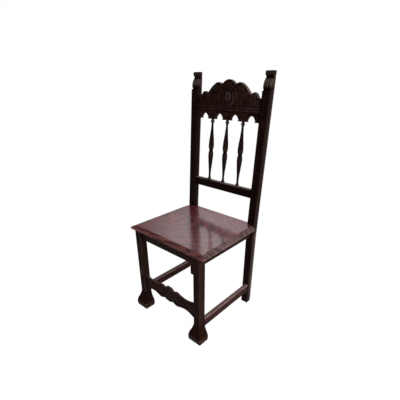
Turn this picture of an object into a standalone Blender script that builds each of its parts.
"""A carved wooden side chair: joined frame, plank seat, turned spindles and a carved crest.

The chair stands on the floor at z = 0 and faces -Y, and its middle plane is x = 0. Depths
are measured back from the front face of the front legs, and one parent then moves the whole
chair so that the middle of its depth is at y = 0. The back leans, so what it holds is
modelled upright and hangs on a second parent that leans with it.
"""
import math

import bmesh
import bpy
from mathutils import Vector

# Fits, in metres like every length here
FIT = 0.0003                    # gap between two pieces that touch
OVERRUN = 0.003                 # how far a cutter runs past what it cuts
STRAIGHT = 1e-6                 # three points are in line when twice their area is less
SHARP_ANGLE = math.radians(35)  # edges of turned pieces that stay sharp

# Seat board
SEAT_HEIGHT = 0.455
SEAT_THICKNESS = 0.020
SEAT_WIDTH = 0.456              # at the front
SEAT_REAR_WIDTH = 0.446
SEAT_FRONT_OVERHANG = 0.0070    # past the front face of the front legs
SEAT_BACK_REACH = 0.0200        # past the front face of the rear posts, between them
SEAT_EAR_RADIUS = 0.012         # rear corners, which end at the posts
SEAT_CORNER_RADIUS = 0.004      # front corners
SEAT_EDGE_WIDTH = 0.0215        # moulding round the front and the sides
SEAT_EDGE_DROP = 0.0123
SEAT_NOSE_HEIGHT = 0.0025
SEAT_COVE_DEPTH = 0.007

# Front legs and their paw feet
LEG_WIDTH = 0.0355
LEG_SPREAD = 0.4058             # over the outer faces
LEG_ARRIS = 0.0015              # chamfer on the corners
FOOT_HEIGHT = 0.091
FOOT_FRONT_FLARE = 0.0220
FOOT_OUTER_FLARE = 0.022
FOOT_INNER_FLARE = 0.020
FOOT_BACK_FLARE = 0.0045
FOOT_CORNER_RADIUS = 0.011
FOOT_LOBE_DEPTH = 0.0022        # hollows between the toes
FOOT_TOES = 8

# Rear posts: leg and back post in one length
POST_WIDTH = 0.036
POST_SPREAD = 0.415             # over the outer faces
POST_FRONT = 0.3700             # front face under the seat
POST_DEPTH = 0.034
POST_SEAT_DEPTH = 0.035
POST_FOOT_DEPTH = 0.032
POST_KICK = 0.0025              # how far the foot stands back of the seat
POST_HEIGHT = 1.087
POST_BEND_HEIGHT = 0.424        # middle of the bend
POST_BEND = 0.100               # length over which the post turns to its lean
POST_TAPER = 0.250              # length over which it thins above the seat
BACK_LEAN = math.atan(0.052)

# Carved finial at the top of each post
FINIAL_HEIGHT = 0.070
FINIAL_GROOVE_WIDTH = 0.008
FINIAL_GROOVE_DEPTH = 0.0035

# Seat rails
RAIL_HEIGHT = 0.0407
RAIL_THICKNESS = 0.020
FRONT_RAIL_SETBACK = 0.0105     # behind the front face of the legs
SIDE_RAIL_SETBACK = 0.008       # inside the outer faces of the front legs
REAR_RAIL_THICKNESS = 0.018
REAR_RAIL_SETBACK = 0.001       # behind the front face of the posts
RAIL_TENON_THICKNESS = 0.009
RAIL_TENON_LENGTH = 0.020
RAIL_TENON_SHOULDER = 0.004     # above the upper and below the lower tenon
RAIL_TENON_STEP = 0.002         # between the heights of two tenons that cross

# Corner blocks inside the seat frame, and their screws
BLOCK_SIDE = 0.045
BLOCK_CLEARANCE = 0.008         # cut off so that the block passes the leg
BLOCK_HEIGHT = 0.030
SCREW_SHANK_RADIUS = 0.002
SCREW_HEAD_RADIUS = 0.004
SCREW_HEAD_HEIGHT = 0.0025
SCREW_POINT_RADIUS = 0.0005
SCREW_SINK_RADIUS = 0.005       # of the hole that the head lies in
SCREW_BITE = 0.012              # into the second piece
RAIL_SCREW_GRIP = 0.012         # wood under the head, in the block
RAIL_SCREW_DROP = 0.022         # below the top of the block
RAIL_SCREW_PLACE = 0.020        # from the end of the block's side
SEAT_SCREW_GRIP = 0.016
SEAT_SCREW_PLACE = 0.008        # in from the block's cut corner, both ways
SCREW_SIDES = 12

# Front stretcher, a carved board
STRETCHER_BASE = 0.1105
STRETCHER_HEIGHT = 0.0880
STRETCHER_THICKNESS = 0.0115
STRETCHER_SETBACK = 0.006
STRETCHER_TENON_THICKNESS = 0.006
STRETCHER_TENON_HEIGHT = 0.046
STRETCHER_TENON_RISE = 0.014    # tenon above the lowest point
STRETCHER_TENON_LENGTH = 0.018

# Side stretchers, plain bars
BAR_BASE = 0.0745
BAR_HEIGHT = 0.0425
BAR_THICKNESS = 0.020
BAR_PROUD = 0.002               # past the outer faces of the front legs
BAR_ROUND = 0.005               # softened upper edges
BAR_TENON_THICKNESS = 0.009
BAR_TENON_SHOULDER = 0.006
BAR_TENON_LENGTH = 0.018

# Lower back rail; heights on the back run up its lean from the top of the seat
LOWER_RAIL_BASE = 0.1225
LOWER_RAIL_HEIGHT = 0.0395
LOWER_RAIL_SETBACK = 0.008
LOWER_RAIL_THICKNESS = 0.018
LOWER_RAIL_TENON_THICKNESS = 0.009
LOWER_RAIL_TENON_SHOULDER = 0.006
BACK_TENON_LENGTH = 0.020

# Crest rail
CREST_DROP = 0.189              # from the top of the posts down to the foot of the pendants
CREST_HEIGHT = 0.1612
CREST_SETBACK = 0.005
CREST_THICKNESS = 0.0195
CREST_RELIEF = 0.0025           # the ground lies this far behind the carving
CREST_TENON_THICKNESS = 0.009
CREST_TENON_BASE = 0.030
CREST_TENON_HEIGHT = 0.050
ARCH_WIDTH = 0.0435
PENDANT_TRIM = 0.0016           # off each end pendant, which is half of a middle one
ARCH_HEIGHT = 0.025
ARCH_FOOT_WIDTH = 0.002         # small steps at the foot of each arch
ARCH_FOOT_HEIGHT = 0.003
ARCH_FULLNESS = 0.75            # power of the arch: half is an ellipse, one a parabola
CREST_BAND_BASE = 0.037         # flat moulding over the arches
CREST_BAND_HEIGHT = 0.013
MEDALLION_RISE = 0.0885         # its centre above the foot of the pendants
MEDALLION_WIDTH = 0.064
MEDALLION_HEIGHT = 0.082
MEDALLION_RIM = 0.009

# Spindles
SPINDLES = 3
SPINDLE_FOOT_SETBACK = 0.0140   # behind the front face of the posts
SPINDLE_TOP_SETBACK = 0.0165
SPINDLE_RADIUS = 0.0125
SPINDLE_TENON_RADIUS = 0.0043
SPINDLE_TENON_LENGTH = 0.012
SPINDLE_SIDES = 24

# Outlines, as shares of the sizes named above. Each arc is its start, a point on it, its end.
CREST_TOP_SHARES = (            # of the half width between the posts, of CREST_HEIGHT
    ((0.000, 1.000), (0.152, 0.965), (0.218, 0.880)),
    ((0.218, 0.880), (0.348, 0.931), (0.457, 0.878)),
    ((0.644, 0.680), (0.662, 0.660), (0.686, 0.650)),
    ((0.686, 0.650), (0.780, 0.708), (0.880, 0.610)),
    ((0.886, 0.578), (0.940, 0.578), (1.000, 0.578)),
)
STRETCHER_TOP_SHARES = (        # of the half width between the legs, of STRETCHER_HEIGHT
    ((0.000, 1.000), (0.105, 0.975), (0.175, 0.847)),
    ((0.175, 0.847), (0.285, 0.933), (0.404, 0.879)),
    ((0.404, 0.879), (0.688, 0.770), (1.000, 0.957)),
)
STRETCHER_LOWER_SHARES = (
    ((1.000, 0.000), (0.880, 0.140), (0.742, 0.235)),
    ((0.742, 0.235), (0.600, 0.240), (0.451, 0.162)),
    ((0.451, 0.162), (0.297, 0.100), (0.172, 0.198)),
    ((0.172, 0.198), (0.100, 0.135), (0.000, 0.113)),
)
FINIAL_SHARES = (               # of POST_DEPTH back from the front, of FINIAL_HEIGHT
    (0.05, 0.00), (0.24, 0.03), (0.12, 0.12), (0.10, 0.20), (0.17, 0.38), (0.30, 0.53),
    (0.48, 0.64), (0.50, 0.68), (0.37, 0.74), (0.30, 0.84), (0.31, 0.92), (0.40, 1.00),
    (0.90, 1.00), (1.00, 0.95),
)
SEAT_EDGE_SHARES = (            # of the width in from the edge, of the drop
    (1.00, 0.00), (0.75, 0.16), (0.50, 0.37), (0.25, 0.64), (0.00, 1.00),
)
SEAT_COVE_SHARES = ((0.00, 0.00), (0.55, 0.12), (0.90, 0.45), (1.00, 1.00))
FOOT_SHARES = (                 # of the flare, of FOOT_HEIGHT, of the toes' depth
    (0.84, 0.00, 0.80), (0.95, 0.10, 1.00), (1.00, 0.24, 1.00), (0.88, 0.40, 0.50),
    (0.57, 0.58, 0.20), (0.22, 0.79, 0.10), (0.00, 1.00, 0.00),
)
MEDALLION_RIM_SHARES = (        # of MEDALLION_RIM in, of CREST_RELIEF forward
    (0.0, -1.0), (0.0, 0.55), (0.3, 1.0), (0.7, 1.0), (1.0, 0.45), (1.2, 0.0),
)
MEDALLION_BOSS_SHARES = ((0.42, 0.6), (0.22, 0.95))     # of the oval, of CREST_RELIEF
SPINDLE_SHARES = (              # of the length up from the rail, of SPINDLE_RADIUS
    (0.000, 0.54), (0.008, 0.66), (0.018, 0.70), (0.028, 0.64), (0.037, 0.45), (0.055, 0.39),
    (0.092, 0.39), (0.150, 0.44), (0.250, 0.62), (0.350, 0.82), (0.434, 0.94), (0.470, 0.90),
    (0.490, 0.70), (0.503, 0.57), (0.518, 0.70), (0.540, 0.90), (0.581, 1.00), (0.640, 0.92),
    (0.730, 0.70), (0.820, 0.50), (0.890, 0.40), (0.917, 0.39), (0.937, 0.44), (0.948, 0.60),
    (0.964, 0.70), (0.980, 0.62), (0.988, 0.48), (1.000, 0.48),
)

# Sizes worked out from those above
LEG_OUTER = LEG_SPREAD / 2
LEG_INNER = LEG_OUTER - LEG_WIDTH
POST_OUTER = POST_SPREAD / 2
POST_INNER = POST_OUTER - POST_WIDTH
RAIL_TOP = SEAT_HEIGHT - SEAT_THICKNESS - FIT
RAIL_BASE = RAIL_TOP - RAIL_HEIGHT
SIDE_RAIL_OUTER = LEG_OUTER - SIDE_RAIL_SETBACK
SIDE_RAIL_INNER = SIDE_RAIL_OUTER - RAIL_THICKNESS
RAIL_TENON_HEIGHT = (RAIL_HEIGHT - RAIL_TENON_STEP) / 2 - RAIL_TENON_SHOULDER
CREST_WIDTH = 2 * (POST_INNER - FIT)
CREST_BASE = POST_HEIGHT - SEAT_HEIGHT - CREST_DROP
SPINDLE_PITCH = (CREST_WIDTH - 2 * PENDANT_TRIM) / (SPINDLES + 1)
LEFT, RIGHT = -1, 1

# Materials: colour, roughness
FRAME_WOOD = ("dark_frame_wood", (0.060, 0.028, 0.020), 0.38)
SEAT_WOOD = ("seat_wood", (0.170, 0.075, 0.062), 0.28)
HIDDEN_WOOD = ("unfinished_wood", (0.300, 0.180, 0.100), 0.75)
STEEL = ("screw_steel", (0.350, 0.340, 0.330), 0.45)


def clear_scene():
    """Remove every object, so that the script can run again in the same file."""
    for old in list(bpy.data.objects):
        bpy.data.objects.remove(old, do_unlink=True)


def make_material(description):
    """Make, or find, a Principled material."""
    name, colour, roughness = description
    material = bpy.data.materials.get(name)
    if material is None:
        material = bpy.data.materials.new(name)
        material.use_nodes = True
        shader = material.node_tree.nodes["Principled BSDF"]
        shader.inputs["Base Color"].default_value = (*colour, 1.0)
        shader.inputs["Roughness"].default_value = roughness
        shader.inputs["Metallic"].default_value = 1.0 if description is STEEL else 0.0
    return material


def make_parent(name, location=(0.0, 0.0, 0.0), lean=0.0, parent=None):
    """Make an empty that places what hangs on it."""
    empty = bpy.data.objects.new(name, None)
    bpy.context.scene.collection.objects.link(empty)
    empty.location = location
    empty.rotation_euler = (-lean, 0.0, 0.0)
    empty.parent = parent
    return empty


def make_object(name, mesh, parent, material, smooth=False):
    """Finish a bmesh as a named object with its faces pointing out."""
    bmesh.ops.recalc_face_normals(mesh, faces=mesh.faces)
    data = bpy.data.meshes.new(name)
    mesh.to_mesh(data)
    mesh.free()
    if smooth:
        data.shade_smooth()
        data.set_sharp_from_angle(angle=SHARP_ANGLE)
    data.materials.append(make_material(material))
    obj = bpy.data.objects.new(name, data)
    bpy.context.scene.collection.objects.link(obj)
    obj.parent = parent
    return obj


def combine(obj, other, operation):
    """Cut another object from this one, or join it on, with a live Boolean."""
    modifier = obj.modifiers.new(other.name, "BOOLEAN")
    modifier.operation = operation
    modifier.solver = "EXACT"
    modifier.object = other
    other.hide_render = True
    other.display_type = "WIRE"


def cut(obj, *cutters):
    """Cut away each of the cutters."""
    for cutter in cutters:
        combine(obj, cutter, "DIFFERENCE")


def join(obj, *additions):
    """Join each of the additions on."""
    for addition in additions:
        combine(obj, addition, "UNION")


def stacked_rings(rings):
    """Skin a mesh over rings of equal count, each a closed loop of points, and cap its ends."""
    mesh = bmesh.new()
    loops = [[mesh.verts.new(point) for point in ring] for ring in rings]
    count = len(loops[0])
    for low, high in zip(loops, loops[1:]):
        for i in range(count):
            j = (i + 1) % count
            mesh.faces.new((low[i], low[j], high[j], high[i]))
    mesh.faces.new(loops[0][::-1])
    mesh.faces.new(loops[-1])
    return mesh


def prism(outline, low, high, along):
    """Sweep a flat outline from low to high along X, Y or Z.

    The outline's points are (y, z) along X, (x, z) along Y and (x, y) along Z.
    """
    place = {
        "x": lambda u, v, w: (w, u, v),
        "y": lambda u, v, w: (u, w, v),
        "z": lambda u, v, w: (u, v, w),
    }[along]
    return stacked_rings([[place(u, v, w) for u, v in outline] for w in (low, high)])


def rectangle(low_u, high_u, low_v, high_v):
    """Corners of a rectangle, counter-clockwise."""
    return [(low_u, low_v), (high_u, low_v), (high_u, high_v), (low_u, high_v)]


def arc_through(start, middle, end, steps):
    """Points on the circular arc through three points, or on the line where they are in line."""
    (ax, ay), (bx, by), (cx, cy) = start, middle, end
    turn = 2 * (ax * (by - cy) + bx * (cy - ay) + cx * (ay - by))
    if abs(turn) < STRAIGHT:
        return [start, end]
    sa, sb, sc = ax * ax + ay * ay, bx * bx + by * by, cx * cx + cy * cy
    centre = Vector((
        (sa * (by - cy) + sb * (cy - ay) + sc * (ay - by)) / turn,
        (sa * (cx - bx) + sb * (ax - cx) + sc * (bx - ax)) / turn,
    ))
    radius = (Vector(start) - centre).length
    first = math.atan2(ay - centre.y, ax - centre.x)
    sweep = math.atan2(cy - centre.y, cx - centre.x) - first
    through = math.atan2(by - centre.y, bx - centre.x) - first
    through %= math.tau
    sweep %= math.tau
    if through > sweep:
        sweep -= math.tau
    return [
        (centre.x + radius * math.cos(first + sweep * i / steps),
         centre.y + radius * math.sin(first + sweep * i / steps))
        for i in range(steps + 1)
    ]


def share_outline(arc_shares, width, height, steps=6):
    """Turn arcs given as shares of a width and a height into one run of points."""
    points = []
    for arc in arc_shares:
        start, middle, end = ((u * width, v * height) for u, v in arc)
        run = arc_through(start, middle, end, steps)
        points.extend(run[1:] if points and math.dist(points[-1], run[0]) < FIT else run)
    return points


def both_sides(points):
    """Mirror a run of points that starts at u = 0, and give it from left to right."""
    mirrored = [(-u, v) for u, v in reversed(points) if u > FIT]
    return mirrored + points


def ends_with_tenons(along, body, tenons):
    """A straight bar with a tenon at each end, as one closed mesh.

    body is (low, high) of the shoulders and the rectangle of the section. tenons are the
    lengths at the low and the high end, and each one's own rectangle.
    """
    (low, high), section = body
    (low_length, low_section), (high_length, high_section) = tenons
    place = (lambda w, p: (w, *p)) if along == "x" else (lambda w, p: (p[0], w, p[1]))
    stations = [
        (low - low_length, low_section), (low, low_section), (low, section),
        (high, section), (high, high_section), (high + high_length, high_section),
    ]
    return stacked_rings([[place(w, p) for p in ring] for w, ring in stations])


def box_cutter(name, parent, x, y, z):
    """A box between low and high values on each axis, used only in a Boolean."""
    mesh = prism(rectangle(*x, *y), *z, "z")
    return make_object(name, mesh, parent, HIDDEN_WOOD)


def grown(low, high):
    """A hole's span for a tenon's span."""
    return low - FIT, high + FIT


def ordered(side, near, far):
    """Put a span that is measured outwards on one side into low and high order."""
    return tuple(sorted((side * near, side * far)))


def turned(profile, sides):
    """Rings round Z of a turned profile of (height, radius) pairs."""
    return [
        [(radius * math.cos(math.tau * i / sides), radius * math.sin(math.tau * i / sides), height)
         for i in range(sides)]
        for height, radius in profile
    ]


def stand(obj, location, direction=(0.0, 0.0, 1.0)):
    """Stand an object that was modelled up Z at a place, pointing along a direction."""
    obj.location = location
    obj.rotation_euler = Vector(direction).to_track_quat("Z", "Y").to_euler()
    return obj


def post_front(z):
    """Front face of a rear post: almost plumb under the seat, then bent back to its lean."""
    rise = z - POST_BEND_HEIGHT
    slope = math.tan(BACK_LEAN)
    if rise < -POST_BEND / 2:
        straight = POST_BEND_HEIGHT - POST_BEND / 2
        return POST_FRONT + POST_KICK * (straight - z) / straight
    if rise < POST_BEND / 2:
        return POST_FRONT + slope * (rise + POST_BEND / 2) ** 2 / (2 * POST_BEND)
    return POST_FRONT + slope * rise


def post_depth(z):
    """Thickness of a rear post from front to back, widest where it bends."""
    if z < SEAT_HEIGHT:
        return POST_FOOT_DEPTH + (POST_SEAT_DEPTH - POST_FOOT_DEPTH) * z / SEAT_HEIGHT
    thinned = min((z - SEAT_HEIGHT) / POST_TAPER, 1.0)
    return POST_SEAT_DEPTH + (POST_DEPTH - POST_SEAT_DEPTH) * thinned


def post_profile():
    """Side view of a rear post with its finial, as (y, z) points."""
    finial_base = POST_HEIGHT - FINIAL_HEIGHT
    bend_steps = 6
    bend_low = POST_BEND_HEIGHT - POST_BEND / 2
    heights = [0.0]
    heights += [bend_low + POST_BEND * i / bend_steps for i in range(bend_steps + 1)]
    heights += [SEAT_HEIGHT + POST_TAPER, finial_base]
    front = [(post_front(z), z) for z in heights]
    finial = []
    for setback_share, height_share in FINIAL_SHARES:
        z = finial_base + FINIAL_HEIGHT * height_share
        finial.append((post_front(z) + POST_DEPTH * setback_share, z))
    back_heights = reversed(heights)
    back = [(post_front(z) + post_depth(z), z) for z in back_heights]
    return front + finial + back


def rail_spans():
    """Heights of the upper and the lower tenon where two seat rails cross in one post."""
    upper_top = RAIL_TOP - RAIL_TENON_SHOULDER
    lower_base = RAIL_BASE + RAIL_TENON_SHOULDER
    return (upper_top - RAIL_TENON_HEIGHT, upper_top), (lower_base, lower_base + RAIL_TENON_HEIGHT)


def tenon_span(low, high, thickness):
    """The middle part of a span."""
    middle = (low + high) / 2
    return middle - thickness / 2, middle + thickness / 2


def front_rail_span():
    """Front and back faces of the front seat rail."""
    return FRONT_RAIL_SETBACK, FRONT_RAIL_SETBACK + RAIL_THICKNESS


def rear_rail_span():
    """Front and back faces of the rear seat rail."""
    front = post_front(RAIL_TOP) + REAR_RAIL_SETBACK
    return front, front + REAR_RAIL_THICKNESS


def stretcher_span():
    """Front and back faces of the front stretcher."""
    return STRETCHER_SETBACK, STRETCHER_SETBACK + STRETCHER_THICKNESS


def side_bar_span():
    """Inner and outer faces of a side stretcher."""
    outer = LEG_OUTER + BAR_PROUD
    return outer - BAR_THICKNESS, outer


def lower_rail_span():
    """Front and back faces of the lower back rail, behind the front face of the posts."""
    return LOWER_RAIL_SETBACK, LOWER_RAIL_SETBACK + LOWER_RAIL_THICKNESS


def crest_span():
    """Front and back faces of the crest rail, behind the front face of the posts."""
    return CREST_SETBACK, CREST_SETBACK + CREST_THICKNESS


def seat_ring(inset, z):
    """Outline of the seat board at one height, drawn in at its front and its sides."""
    half = SEAT_WIDTH / 2 - inset
    rear_half = SEAT_REAR_WIDTH / 2 - inset
    front = -SEAT_FRONT_OVERHANG + inset
    ear_back = post_front(SEAT_HEIGHT - SEAT_THICKNESS) - FIT
    notch = POST_INNER - FIT
    back = POST_FRONT + SEAT_BACK_REACH
    diagonal = math.sqrt(0.5)
    near, ear = SEAT_CORNER_RADIUS, SEAT_EAR_RADIUS
    right = [
        (half - near, front),
        (half - near * (1 - diagonal), front + near * (1 - diagonal)),
        (half, front + near),
    ]
    ear_steps = 4
    for i in range(ear_steps + 1):
        angle = math.pi / 2 * i / ear_steps
        right.append((rear_half - ear + ear * math.cos(angle), ear_back - ear + ear * math.sin(angle)))
    right += [(notch, ear_back), (notch, back)]
    ring = right + [(-x, y) for x, y in reversed(right)]
    return [(x, y, z) for x, y in ring]


def make_seat_board(chair, screw_holes):
    """Plank seat with a moulded edge, notched round the rear posts."""
    rings = []
    for in_share, drop_share in SEAT_EDGE_SHARES:
        rings.append(seat_ring(SEAT_EDGE_WIDTH * in_share, SEAT_HEIGHT - SEAT_EDGE_DROP * drop_share))
    nose_base = SEAT_HEIGHT - SEAT_EDGE_DROP - SEAT_NOSE_HEIGHT
    cove_height = nose_base - (SEAT_HEIGHT - SEAT_THICKNESS)
    for in_share, drop_share in SEAT_COVE_SHARES:
        rings.append(seat_ring(SEAT_COVE_DEPTH * in_share, nose_base - cove_height * drop_share))
    board = make_object("seat_board", stacked_rings(rings), chair, SEAT_WOOD)
    cut(board, *screw_holes)
    return board


def rounded_ring(x, y, z, radius, lobe_depth):
    """A rounded rectangle whose edge swings in between the toes of a foot."""
    corner_steps = 6
    side_steps = 4
    (low_x, high_x), (low_y, high_y) = x, y
    centre = Vector(((low_x + high_x) / 2, (low_y + high_y) / 2))
    corners = (
        (high_x - radius, low_y + radius, -math.pi / 2), (high_x - radius, high_y - radius, 0.0),
        (low_x + radius, high_y - radius, math.pi / 2), (low_x + radius, low_y + radius, math.pi),
    )
    loop = []
    for corner_x, corner_y, first in corners:
        for i in range(corner_steps + 1):
            angle = first + math.pi / 2 * i / corner_steps
            loop.append(Vector((corner_x + radius * math.cos(angle), corner_y + radius * math.sin(angle))))
    points = []
    for here, there in zip(loop, loop[1:] + loop[:1]):
        long_side = (there - here).length > radius / 2
        count = side_steps if long_side else 1
        points.extend(here.lerp(there, i / count) for i in range(count))
    ring = []
    for point in points:
        out = point - centre
        turn = math.atan2(out.y / (high_y - low_y), out.x / (high_x - low_x))
        hollow = lobe_depth * (0.5 - 0.5 * math.cos(FOOT_TOES * turn))
        point = point - out.normalized() * hollow
        ring.append((point.x, point.y, z))
    return ring


def make_front_leg(chair, side, holes):
    """Square leg that flares into a paw foot, mortised for its rails and stretchers."""
    name = "front_leg_left" if side == LEFT else "front_leg_right"
    rings = []
    for flare_share, height_share, lobe_share in FOOT_SHARES:
        x = ordered(side, LEG_INNER - FOOT_INNER_FLARE * flare_share,
                    LEG_OUTER + FOOT_OUTER_FLARE * flare_share)
        heel = LEG_WIDTH + FOOT_BACK_FLARE * flare_share ** 3
        y = (-FOOT_FRONT_FLARE * flare_share, heel)
        radius = LEG_ARRIS + (FOOT_CORNER_RADIUS - LEG_ARRIS) * flare_share
        rings.append(rounded_ring(x, y, FOOT_HEIGHT * height_share, radius, FOOT_LOBE_DEPTH * lobe_share))
    rings.append([(px, py, RAIL_TOP) for px, py, _ in rings[-1]])
    leg = make_object(name, stacked_rings(rings), chair, FRAME_WOOD)
    cut(leg, *holes)
    return leg


def make_rear_post(chair, side, holes):
    """Rear leg and back post in one length, with a carved scroll on top."""
    name = "rear_post_left" if side == LEFT else "rear_post_right"
    post = make_object(name, prism(post_profile(), *ordered(side, POST_INNER, POST_OUTER), "x"),
                       chair, FRAME_WOOD)
    middle = side * (POST_INNER + POST_OUTER) / 2
    groove = [
        (middle - FINIAL_GROOVE_WIDTH / 2, POST_HEIGHT + OVERRUN),
        (middle, POST_HEIGHT - FINIAL_GROOVE_DEPTH),
        (middle + FINIAL_GROOVE_WIDTH / 2, POST_HEIGHT + OVERRUN),
    ]
    front = post_front(POST_HEIGHT)
    groove_span = (front - OVERRUN, front + POST_DEPTH + OVERRUN)
    groove_cutter = make_object(f"groove_{name}", prism(groove, *groove_span, "y"), chair, HIDDEN_WOOD)
    cut(post, groove_cutter, *holes)
    return post


def make_front_rail(chair, holes):
    """Front seat rail, between the front legs."""
    y = front_rail_span()
    upper, _ = rail_spans()
    tenon = rectangle(*tenon_span(*y, RAIL_TENON_THICKNESS), *upper)
    shoulder = LEG_INNER - FIT
    body = ((-shoulder, shoulder), rectangle(*y, RAIL_BASE, RAIL_TOP))
    mesh = ends_with_tenons("x", body, [(RAIL_TENON_LENGTH, tenon)] * 2)
    rail = make_object("front_seat_rail", mesh, chair, FRAME_WOOD)
    cut(rail, *holes)
    return [
        box_cutter(f"front_rail_mortise_{side}", chair,
                   ordered(side, LEG_INNER - OVERRUN, LEG_INNER + RAIL_TENON_LENGTH),
                   grown(*tenon_span(*y, RAIL_TENON_THICKNESS)), grown(*upper))
        for side in (LEFT, RIGHT)
    ]


def make_rear_rail(chair, holes):
    """Rear seat rail, between the posts and under the back of the seat board."""
    y = rear_rail_span()
    upper, _ = rail_spans()
    tenon = rectangle(*tenon_span(*y, RAIL_TENON_THICKNESS), *upper)
    shoulder = POST_INNER - FIT
    body = ((-shoulder, shoulder), rectangle(*y, RAIL_BASE, RAIL_TOP))
    mesh = ends_with_tenons("x", body, [(RAIL_TENON_LENGTH, tenon)] * 2)
    rail = make_object("rear_seat_rail", mesh, chair, FRAME_WOOD)
    cut(rail, *holes)
    return [
        box_cutter(f"rear_rail_mortise_{side}", chair,
                   ordered(side, POST_INNER - OVERRUN, POST_INNER + RAIL_TENON_LENGTH),
                   grown(*tenon_span(*y, RAIL_TENON_THICKNESS)), grown(*upper))
        for side in (LEFT, RIGHT)
    ]


def make_side_rail(chair, side, holes):
    """Side seat rail, from the front leg to the rear post."""
    x = ordered(side, SIDE_RAIL_INNER, SIDE_RAIL_OUTER)
    _, lower = rail_spans()
    tenon_x = tenon_span(*x, RAIL_TENON_THICKNESS)
    tenon = rectangle(*tenon_x, *lower)
    ends = (LEG_WIDTH + FIT, POST_FRONT - FIT)
    name = "side_seat_rail_left" if side == LEFT else "side_seat_rail_right"
    mesh = ends_with_tenons("y", (ends, rectangle(*x, RAIL_BASE, RAIL_TOP)),
                            [(RAIL_TENON_LENGTH, tenon)] * 2)
    rail = make_object(name, mesh, chair, FRAME_WOOD)
    cut(rail, *holes)
    leg_mortise = box_cutter(f"{name}_leg_mortise", chair, grown(*tenon_x),
                             (LEG_WIDTH - RAIL_TENON_LENGTH, LEG_WIDTH + OVERRUN), grown(*lower))
    post_mortise = box_cutter(f"{name}_post_mortise", chair, grown(*tenon_x),
                              (POST_FRONT - OVERRUN, POST_FRONT + RAIL_TENON_LENGTH), grown(*lower))
    return leg_mortise, post_mortise


def make_front_stretcher(chair):
    """Carved board between the front legs, with a wavy upper and lower edge."""
    y = stretcher_span()
    shoulder = LEG_INNER - FIT
    top = share_outline(STRETCHER_TOP_SHARES, shoulder, STRETCHER_HEIGHT)
    foot = share_outline(STRETCHER_LOWER_SHARES, shoulder, STRETCHER_HEIGHT)
    outline = both_sides(foot[::-1]) + both_sides(top)[::-1]
    outline = [(x, STRETCHER_BASE + height) for x, height in outline]
    board = make_object("front_stretcher", prism(outline, *y, "y"), chair, FRAME_WOOD)
    tenon_y = tenon_span(*y, STRETCHER_TENON_THICKNESS)
    tenon_base = STRETCHER_BASE + STRETCHER_TENON_RISE
    tenon_z = (tenon_base, tenon_base + STRETCHER_TENON_HEIGHT)
    mortises = []
    for side in (LEFT, RIGHT):
        reach = shoulder + STRETCHER_TENON_LENGTH
        tenon = box_cutter(f"stretcher_tenon_{side}", chair,
                           ordered(side, shoulder - OVERRUN, reach), tenon_y, tenon_z)
        join(board, tenon)
        mortises.append(box_cutter(f"stretcher_mortise_{side}", chair,
                                   ordered(side, shoulder - OVERRUN, reach + FIT),
                                   grown(*tenon_y), grown(*tenon_z)))
    return mortises


def make_side_stretcher(chair, side):
    """Plain bar low between a front leg and a rear post, with its upper edges softened."""
    x = ordered(side, *side_bar_span())
    top = BAR_BASE + BAR_HEIGHT
    section = [
        (x[0], BAR_BASE), (x[1], BAR_BASE), (x[1], top - BAR_ROUND), (x[1] - BAR_ROUND, top),
        (x[0] + BAR_ROUND, top), (x[0], top - BAR_ROUND),
    ]
    tenon_x = tenon_span(*x, BAR_TENON_THICKNESS)
    tenon_z = (BAR_BASE + BAR_TENON_SHOULDER, top - BAR_TENON_SHOULDER)
    middle = sum(tenon_z) / 2
    tenon = [
        (tenon_x[0], tenon_z[0]), (tenon_x[1], tenon_z[0]), (tenon_x[1], middle),
        (tenon_x[1], tenon_z[1]), (tenon_x[0], tenon_z[1]), (tenon_x[0], middle),
    ]
    back = post_front(top) - FIT
    name = "side_stretcher_left" if side == LEFT else "side_stretcher_right"
    mesh = ends_with_tenons("y", ((LEG_WIDTH + FIT, back), section), [(BAR_TENON_LENGTH, tenon)] * 2)
    make_object(name, mesh, chair, FRAME_WOOD)
    leg_mortise = box_cutter(f"{name}_leg_mortise", chair, grown(*tenon_x),
                             (LEG_WIDTH - BAR_TENON_LENGTH, LEG_WIDTH + OVERRUN), grown(*tenon_z))
    post_mortise = box_cutter(f"{name}_post_mortise", chair, grown(*tenon_x),
                              (back - OVERRUN, back + BAR_TENON_LENGTH + FIT), grown(*tenon_z))
    return leg_mortise, post_mortise


def spindle_places():
    """Places of the spindles across the back."""
    return [(i - (SPINDLES - 1) / 2) * SPINDLE_PITCH for i in range(SPINDLES)]


def spindle_ends():
    """Top of the lower back rail and foot of the pendants, less the gaps."""
    return LOWER_RAIL_BASE + LOWER_RAIL_HEIGHT + FIT, CREST_BASE - FIT


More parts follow.
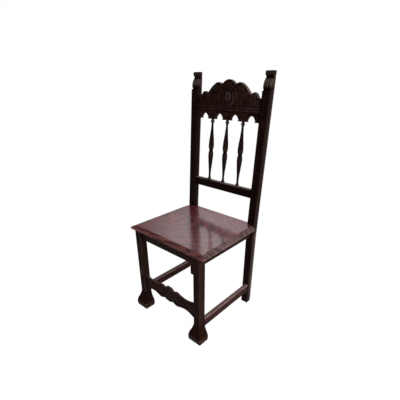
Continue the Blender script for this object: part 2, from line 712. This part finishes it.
def make_spindles(back):
    """Turned double-vase spindles, with a round tenon at each end."""
    low, high = spindle_ends()
    length = high - low
    top = length + SPINDLE_TENON_LENGTH
    profile = [(-SPINDLE_TENON_LENGTH, SPINDLE_TENON_RADIUS), (0.0, SPINDLE_TENON_RADIUS)]
    profile += [(length * up, SPINDLE_RADIUS * out) for up, out in SPINDLE_SHARES]
    profile += [(length, SPINDLE_TENON_RADIUS), (top, SPINDLE_TENON_RADIUS)]
    hole_radius = SPINDLE_TENON_RADIUS + FIT
    foot_holes = []
    top_holes = []
    for number, x in enumerate(spindle_places(), start=1):
        axis = (x, SPINDLE_FOOT_SETBACK, low)
        lean = (0.0, SPINDLE_TOP_SETBACK - SPINDLE_FOOT_SETBACK, high - low)
        rings = turned(profile, SPINDLE_SIDES)
        spindle = make_object(f"spindle_{number}", stacked_rings(rings), back, FRAME_WOOD, smooth=True)
        stand(spindle, axis, lean)
        ends = ((foot_holes, -SPINDLE_TENON_LENGTH - FIT, OVERRUN), (top_holes, length - OVERRUN, top + FIT))
        for holes, start, stop in ends:
            hole = stacked_rings(turned([(start, hole_radius), (stop, hole_radius)], SPINDLE_SIDES))
            holes.append(stand(make_object("spindle_hole", hole, back, HIDDEN_WOOD), axis, lean))
    return foot_holes, top_holes


def make_lower_back_rail(back, holes):
    """Plain rail that carries the feet of the spindles."""
    y = lower_rail_span()
    z = (LOWER_RAIL_BASE, LOWER_RAIL_BASE + LOWER_RAIL_HEIGHT)
    tenon_y = tenon_span(*y, LOWER_RAIL_TENON_THICKNESS)
    tenon_z = (z[0] + LOWER_RAIL_TENON_SHOULDER, z[1] - LOWER_RAIL_TENON_SHOULDER)
    shoulder = POST_INNER - FIT
    mesh = ends_with_tenons("x", ((-shoulder, shoulder), rectangle(*y, *z)),
                            [(BACK_TENON_LENGTH, rectangle(*tenon_y, *tenon_z))] * 2)
    rail = make_object("lower_back_rail", mesh, back, FRAME_WOOD)
    cut(rail, *holes)
    return [
        box_cutter(f"lower_rail_mortise_{side}", back,
                   ordered(side, shoulder - OVERRUN, shoulder + BACK_TENON_LENGTH + FIT),
                   grown(*tenon_y), grown(*tenon_z))
        for side in (LEFT, RIGHT)
    ]


def crest_outline():
    """Front view of the crest rail: lobed top, arches and pendants below."""
    half = CREST_WIDTH / 2
    top = both_sides(share_outline(CREST_TOP_SHARES, half, CREST_HEIGHT))
    foot = []
    arches = SPINDLES + 1
    steps = 12
    for number in range(arches):
        middle = (number - (arches - 1) / 2) * SPINDLE_PITCH
        mouth = ARCH_WIDTH / 2 - ARCH_FOOT_WIDTH
        foot.append((middle - mouth, 0.0))
        for i in range(steps + 1):
            across = -math.cos(math.pi * i / steps)
            rise = (ARCH_HEIGHT - ARCH_FOOT_HEIGHT) * max(1 - across * across, 0.0) ** ARCH_FULLNESS
            foot.append((middle + across * ARCH_WIDTH / 2, ARCH_FOOT_HEIGHT + rise))
        foot.append((middle + mouth, 0.0))
    foot = [(-half, 0.0), *foot, (half, 0.0)]
    return [(x, CREST_BASE + height) for x, height in foot + top[::-1]]


def ellipse(centre_x, centre_z, width, height, steps):
    """Points round an upright ellipse."""
    return [
        (centre_x + width / 2 * math.cos(math.tau * i / steps),
         centre_z + height / 2 * math.sin(math.tau * i / steps))
        for i in range(steps)
    ]


def make_medallion(back):
    """Raised oval rim, and the low dome of the carved boss inside it."""
    ground = CREST_SETBACK + CREST_RELIEF
    centre_z = CREST_BASE + MEDALLION_RISE
    steps = 32
    rings = []
    for inset_share, front_share in MEDALLION_RIM_SHARES:
        inset = 2 * MEDALLION_RIM * inset_share
        face = ground - CREST_RELIEF * front_share
        oval = ellipse(0.0, centre_z, MEDALLION_WIDTH - inset, MEDALLION_HEIGHT - inset, steps)
        rings.append([(x, face, z) for x, z in oval])
    for size_share, front_share in MEDALLION_BOSS_SHARES:
        oval = ellipse(0.0, centre_z, MEDALLION_WIDTH * size_share, MEDALLION_HEIGHT * size_share, steps)
        rings.append([(x, ground - CREST_RELIEF * front_share, z) for x, z in oval])
    return make_object("medallion", stacked_rings(rings), back, FRAME_WOOD)


def make_crest_rail(back, holes):
    """Carved crest rail with its band, medallion, arches and pendants."""
    front, rear = crest_span()
    ground = front + CREST_RELIEF
    crest = make_object("crest_rail", prism(crest_outline(), ground, rear, "y"), back, FRAME_WOOD)
    half = CREST_WIDTH / 2
    band_base = CREST_BASE + CREST_BAND_BASE
    band = box_cutter("crest_band", back, (-half, half), (front, ground + OVERRUN),
                      (band_base, band_base + CREST_BAND_HEIGHT))
    tenon_y = tenon_span(ground, rear, CREST_TENON_THICKNESS)
    tenon_base = CREST_BASE + CREST_TENON_BASE
    tenon_z = (tenon_base, tenon_base + CREST_TENON_HEIGHT)
    tenons = []
    mortises = []
    for side in (LEFT, RIGHT):
        reach = half + BACK_TENON_LENGTH
        tenons.append(box_cutter(f"crest_tenon_{side}", back,
                                 ordered(side, half - OVERRUN, reach), tenon_y, tenon_z))
        mortises.append(box_cutter(f"crest_mortise_{side}", back,
                                   ordered(side, half - OVERRUN, reach + FIT), grown(*tenon_y), grown(*tenon_z)))
    join(crest, band, make_medallion(back), *tenons)
    cut(crest, *holes)
    return mortises


def make_screw(name, chair, head, direction, grip):
    """A countersunk wood screw, modelled up Z from the underside of its head."""
    length = grip + SCREW_BITE
    profile = [
        (-SCREW_HEAD_HEIGHT, SCREW_HEAD_RADIUS), (0.0, SCREW_HEAD_RADIUS), (0.0, SCREW_SHANK_RADIUS),
        (length - SCREW_SHANK_RADIUS, SCREW_SHANK_RADIUS), (length, SCREW_POINT_RADIUS),
    ]
    mesh = stacked_rings(turned(profile, SCREW_SIDES))
    return stand(make_object(name, mesh, chair, STEEL, smooth=True), head, direction)


def make_screw_hole(chair, head, direction, grip):
    """Stepped hole: a sink that the head lies in, then a hole round the shank."""
    shank = SCREW_SHANK_RADIUS + FIT
    profile = [(-BLOCK_SIDE, SCREW_SINK_RADIUS), (FIT, SCREW_SINK_RADIUS), (FIT, shank),
               (grip + SCREW_BITE + FIT, shank)]
    mesh = stacked_rings(turned(profile, SCREW_SIDES))
    return stand(make_object("screw_hole", mesh, chair, HIDDEN_WOOD), head, direction)


def make_corner_blocks(chair):
    """Blocks across the corners of the seat frame, and the holes and places of their screws."""
    block_base = RAIL_TOP - BLOCK_HEIGHT
    screw_z = RAIL_TOP - RAIL_SCREW_DROP
    inner_x = SIDE_RAIL_INNER - FIT
    corners = {
        "front": (1, LEG_INNER, LEG_WIDTH, front_rail_span()[1] + FIT),
        "rear": (-1, POST_INNER, POST_FRONT, rear_rail_span()[0] - FIT),
    }
    holes = {}
    for end, (inward, corner_x, corner_y, face_y) in corners.items():
        for side in (LEFT, RIGHT):
            corner = f"{end}_{'left' if side == LEFT else 'right'}"
            near_x = corner_x - BLOCK_CLEARANCE
            near_y = corner_y + inward * BLOCK_CLEARANCE
            far_x = near_x - BLOCK_SIDE
            far_y = near_y + inward * BLOCK_SIDE
            outline = [
                (side * near_x, face_y), (side * far_x, face_y),
                (side * inner_x, far_y), (side * inner_x, near_y),
            ]
            block = make_object(f"corner_block_{corner}", prism(outline, block_base, RAIL_TOP, "z"),
                                chair, HIDDEN_WOOD)
            across = (side * (far_x + RAIL_SCREW_PLACE), face_y + inward * RAIL_SCREW_GRIP, screw_z)
            along = (side * (inner_x - RAIL_SCREW_GRIP), far_y - inward * RAIL_SCREW_PLACE, screw_z)
            seat = (side * (near_x - SEAT_SCREW_PLACE), near_y + inward * SEAT_SCREW_PLACE,
                    RAIL_TOP - SEAT_SCREW_GRIP)
            screws = {
                "cross_screw": (across, (0, -inward, 0), RAIL_SCREW_GRIP),
                "side_screw": (along, (side, 0, 0), RAIL_SCREW_GRIP),
                "seat_screw": (seat, (0, 0, 1), SEAT_SCREW_GRIP),
            }
            for kind, (head, direction, grip) in screws.items():
                make_screw(f"{kind}_{corner}", chair, head, direction, grip)
                holes[kind, corner] = make_screw_hole(chair, head, direction, grip)
                cut(block, holes[kind, corner])
    return holes


def build():
    """Model the chair from the floor up."""
    clear_scene()
    depth_low = -FOOT_FRONT_FLARE
    depth_high = max(y for y, _ in post_profile())
    chair = make_parent("chair", (0.0, -(depth_low + depth_high) / 2, 0.0))
    back = make_parent("back", (0.0, post_front(SEAT_HEIGHT), SEAT_HEIGHT), BACK_LEAN, chair)

    holes = make_corner_blocks(chair)
    front_mortises = make_front_rail(chair, [holes["cross_screw", f"front_{word}"] for word in ("left", "right")])
    rear_mortises = make_rear_rail(chair, [holes["cross_screw", f"rear_{word}"] for word in ("left", "right")])
    stretcher_mortises = make_front_stretcher(chair)
    rail_holes, crest_holes = make_spindles(back)
    lower_mortises = make_lower_back_rail(back, rail_holes)
    crest_mortises = make_crest_rail(back, crest_holes)

    for number, side in enumerate((LEFT, RIGHT)):
        word = "left" if side == LEFT else "right"
        side_holes = [holes["side_screw", f"{end}_{word}"] for end in ("front", "rear")]
        rail_leg, rail_post = make_side_rail(chair, side, side_holes)
        bar_leg, bar_post = make_side_stretcher(chair, side)
        make_front_leg(chair, side, [front_mortises[number], rail_leg, stretcher_mortises[number], bar_leg])
        make_rear_post(chair, side, [rear_mortises[number], rail_post, bar_post,
                                     lower_mortises[number], crest_mortises[number]])
    make_seat_board(chair, [hole for (kind, _), hole in holes.items() if kind == "seat_screw"])


build()
